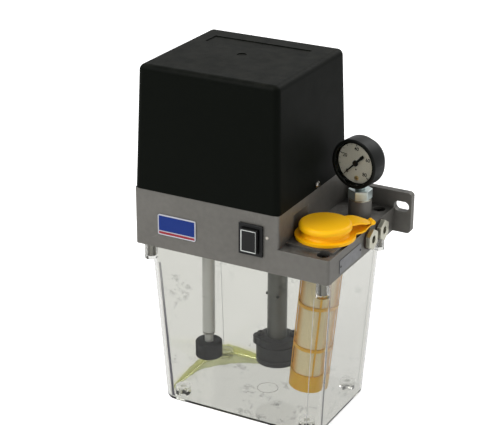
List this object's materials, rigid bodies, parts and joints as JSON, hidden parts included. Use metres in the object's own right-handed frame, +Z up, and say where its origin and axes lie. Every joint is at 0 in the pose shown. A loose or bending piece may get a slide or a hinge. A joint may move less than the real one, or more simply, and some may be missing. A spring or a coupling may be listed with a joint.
{
  "type": "lubricating oil pump",
  "caption": "Wall-mounted lubricating oil pump with a clear reservoir, dark motor hood, pressure gauge, yellow filler cap and side outlets.",
  "frame": {"origin": "on the floor under the middle of the footprint", "axes": "+X to the side with the gauge and outlets, +Y to the wall the unit hangs on, +Z up"},
  "size_m": [0.236, 0.155, 0.3423],
  "materials": {
    "casting": "satin as cast",
    "hood_plastic": "fine grain",
    "reservoir_clear": "clear moulded plastic",
    "gasket_rubber": "matt",
    "steel": "bright",
    "dark_steel": "blackened",
    "nickel": "nickel plated",
    "brass": "bright",
    "fibre": "dark fibre",
    "badge": "blue field, pale border, no words",
    "black_plastic": "semi gloss",
    "dark_body": "dark, oily",
    "lamp": "clear red",
    "yellow": "bright",
    "amber": "translucent orange",
    "mesh": "fine woven mesh",
    "gauge_black": "black",
    "dial_white": "matt white",
    "lens": "clear",
    "laminations": "varnished",
    "motor_alloy": "cast",
    "board": "green board",
    "terminal": "green terminal moulding"
  },
  "bodies": {
    "unit": {"base_casting": "casting", "hood": "hood_plastic", "hood_screws": "steel", "reservoir": "reservoir_clear", "reservoir_gasket": "gasket_rubber", "reservoir_screws": "dark_steel", "reservoir_inserts": "brass", "badge_plate": "badge", "type_plate": "dial_white", "switch_frame": "black_plastic", "pilot_lamp": "lamp", "filler_collar": "yellow", "filler_strainer": "amber", "strainer_mesh": "mesh", "gauge_case": "gauge_black", "gauge_lens": "lens", "gauge_dial": "dial_white", "gauge_stem": "brass", "gauge_movement": "brass", "bourdon_tube": "brass", "gauge_adapter": "nickel", "gauge_washer": "nickel", "outlet_fitting_front": "nickel", "outlet_fitting_rear": "nickel", "outlet_washers": "fibre", "gallery_plug": "dark_steel", "float_tube": "steel", "float_stem": "steel", "float_stops": "steel", "pump_column": "steel", "pump_body": "dark_body", "suction_cover": "black_plastic", "suction_screen": "steel", "pump_screws": "dark_steel", "idler_pin": "steel", "shaft_bushes": "brass", "shaft_seal": "gasket_rubber", "motor_stand": "motor_alloy", "motor_housing": "motor_alloy", "motor_stator": "laminations", "motor_bearings": "steel", "control_board": "board", "board_bracket": "steel", "terminal_block": "terminal", "cable_gland": "black_plastic", "gland_nut": "black_plastic", "stand_screws": "steel", "motor_screws": "steel"},
    "cap": {"filler_cap": "yellow"},
    "button": {"switch_button": "black_plastic"},
    "float": {"level_float": "black_plastic"},
    "needle": {"gauge_needle": "gauge_black"},
    "drive": {"motor_rotor": "laminations", "shaft_coupling": "motor_alloy", "drive_shaft": "steel", "drive_gear": "steel"},
    "idler": {"idler_gear": "steel"}
  },
  "joints": [
    {"name": "cap_hinge", "type": "hinge", "parent": "unit", "child": "cap", "pos_m": [0.10449, 0.00912, 0.2012], "axis": [-0.766, 0.6428, 0], "range_deg": [0, 70]},
    {"name": "switch_press", "type": "slide", "parent": "unit", "child": "button", "axis": [0, 1, 0], "range_m": [0, 0.003], "stiffness_N_per_m": 600, "springref_m": -0.002},
    {"name": "float_rise", "type": "slide", "parent": "unit", "child": "float", "axis": [0, 0, 1], "range_m": [0, 0.008]},
    {"name": "needle_turn", "type": "hinge", "parent": "unit", "child": "needle", "pos_m": [0.0795, 0.0375, 0.2469], "axis": [0.1564, 0.9877, 0], "range_deg": [0, 270], "stiffness_Nm_per_rad": 0.002},
    {"name": "pump_spin", "type": "hinge", "parent": "unit", "child": "drive", "pos_m": [0.006, 0.015, 0.1], "axis": [0, 0, 1], "continuous": true},
    {"name": "idler_spin", "type": "hinge", "parent": "unit", "child": "idler", "pos_m": [0.0013, 0.02383, 0.048], "axis": [0, 0, 1], "continuous": true}
  ],
  "couplings": [
    {"joint": "idler_spin", "follows": "pump_spin", "ratio": -1}
  ]
}
